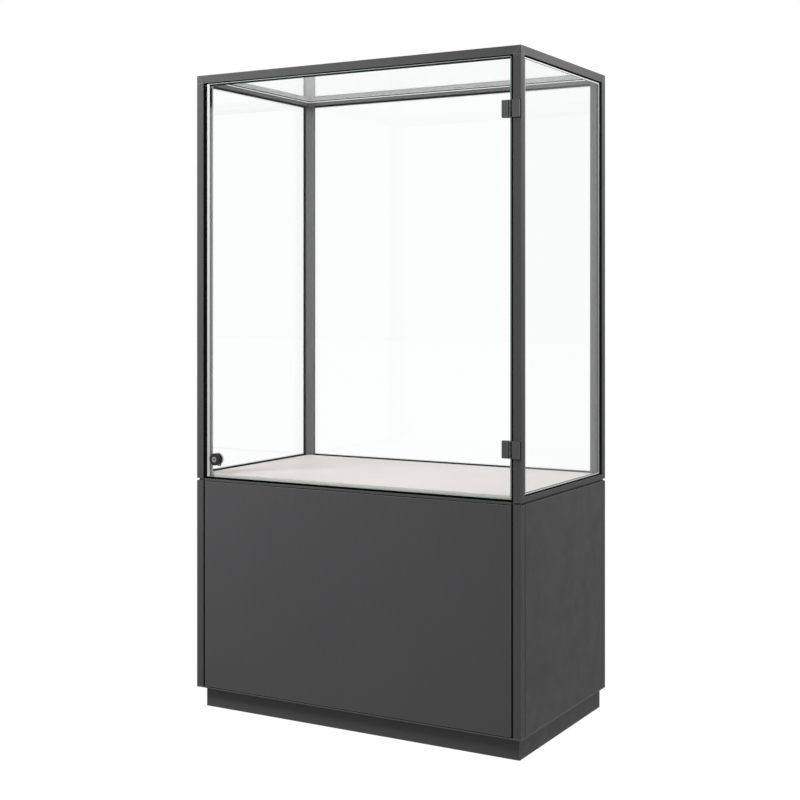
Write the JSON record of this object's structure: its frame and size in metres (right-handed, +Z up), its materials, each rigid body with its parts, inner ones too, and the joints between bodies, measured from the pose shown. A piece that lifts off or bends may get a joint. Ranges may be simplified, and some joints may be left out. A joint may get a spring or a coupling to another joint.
{
  "type": "glass display case",
  "caption": "Tall glass display case on a closed storage base: framed panes, pale deck, hinged and lockable glass door, push-to-open base door, recessed plinth.",
  "frame": {"origin": "on the floor, under the middle of the overall box", "axes": "+Z up, front of the case towards -Y, +X to the right seen from the front"},
  "size_m": [1, 0.57, 1.775],
  "materials": {
    "frame_paint": "satin powder coat, anthracite grey",
    "stop_grey": "satin mid grey",
    "panel_lacquer": "satin lacquer on board, anthracite grey",
    "block_wood": "plain sawn timber",
    "clear_glass": "clear float glass with polished edges",
    "deck_board": "matt pale laminate",
    "gasket_rubber": "matt black glazing rubber",
    "seal_plastic": "pale translucent extrusion",
    "hinge_black": "satin dark coating",
    "bright_steel": "bright zinc",
    "lock_satin": "dark satin coating with bright turned rings",
    "latch_plastic": "moulded, matt"
  },
  "bodies": {
    "case": {"back_glass": "clear_glass", "base_back_panel": "panel_lacquer", "base_bottom_plate": "frame_paint", "base_cap_plate": "frame_paint", "base_door_pivots": "bright_steel", "base_left_panel": "panel_lacquer", "base_post_front_left": "frame_paint", "base_post_front_right": "frame_paint", "base_post_rear_left": "frame_paint", "base_post_rear_right": "frame_paint", "base_right_panel": "panel_lacquer", "case_bolts": "bright_steel", "corner_connectors": "frame_paint", "display_deck": "deck_board", "door_catch": "stop_grey", "door_dust_seals": "gasket_rubber", "door_stop_screws": "bright_steel", "door_stop_strip": "stop_grey", "foot_lock_nuts": "bright_steel", "front_sill": "gasket_rubber", "hinge_leaves": "hinge_black", "hinge_pins": "bright_steel", "left_glass": "clear_glass", "levelling_feet": "bright_steel", "lower_left_rail": "frame_paint", "lower_rear_rail": "frame_paint", "lower_right_rail": "frame_paint", "pane_gaskets": "gasket_rubber", "panel_screws": "bright_steel", "plinth_corner_blocks": "block_wood", "plinth_front_board": "panel_lacquer", "plinth_left_board": "panel_lacquer", "plinth_rear_board": "panel_lacquer", "plinth_right_board": "panel_lacquer", "post_front_left": "frame_paint", "post_front_right": "frame_paint", "post_rear_left": "frame_paint", "post_rear_right": "frame_paint", "push_latch_body": "latch_plastic", "right_glass": "clear_glass", "top_front_rail": "frame_paint", "top_glass": "clear_glass", "top_left_rail": "frame_paint", "top_rear_rail": "frame_paint", "top_right_rail": "frame_paint"},
    "glass_door": {"door_glass": "clear_glass", "door_edge_seal": "seal_plastic", "door_catch_plate": "bright_steel", "hinge_clamps": "hinge_black", "hinge_back_plates": "hinge_black", "hinge_clamp_screws": "bright_steel", "lock_housing": "lock_satin", "lock_washers": "gasket_rubber", "lock_nut": "hinge_black"},
    "lock_core": {"lock_plug": "lock_satin", "lock_cam": "hinge_black", "lock_cam_screw": "bright_steel"},
    "base_door": {"base_door": "panel_lacquer", "push_latch_strike": "bright_steel"},
    "latch_plunger": {"push_latch_plunger": "latch_plastic"}
  },
  "joints": [
    {"name": "glass_door_hinge", "type": "hinge", "parent": "case", "child": "glass_door", "pos_m": [0.4715, -0.278, 1.2], "axis": [0, 0, 1], "range_deg": [0, 110]},
    {"name": "lock_turn", "type": "hinge", "parent": "glass_door", "child": "lock_core", "pos_m": [-0.433, -0.275, 0.702], "axis": [0, 1, 0], "range_deg": [0, 90]},
    {"name": "base_door_pivot", "type": "hinge", "parent": "case", "child": "base_door", "pos_m": [0.46, -0.264, 0.35], "axis": [0, 0, 1], "range_deg": [0, 105]},
    {"name": "latch_push", "type": "slide", "parent": "case", "child": "latch_plunger", "axis": [0, 1, 0], "range_m": [0, 0.003], "stiffness_N_per_m": 300}
  ]
}
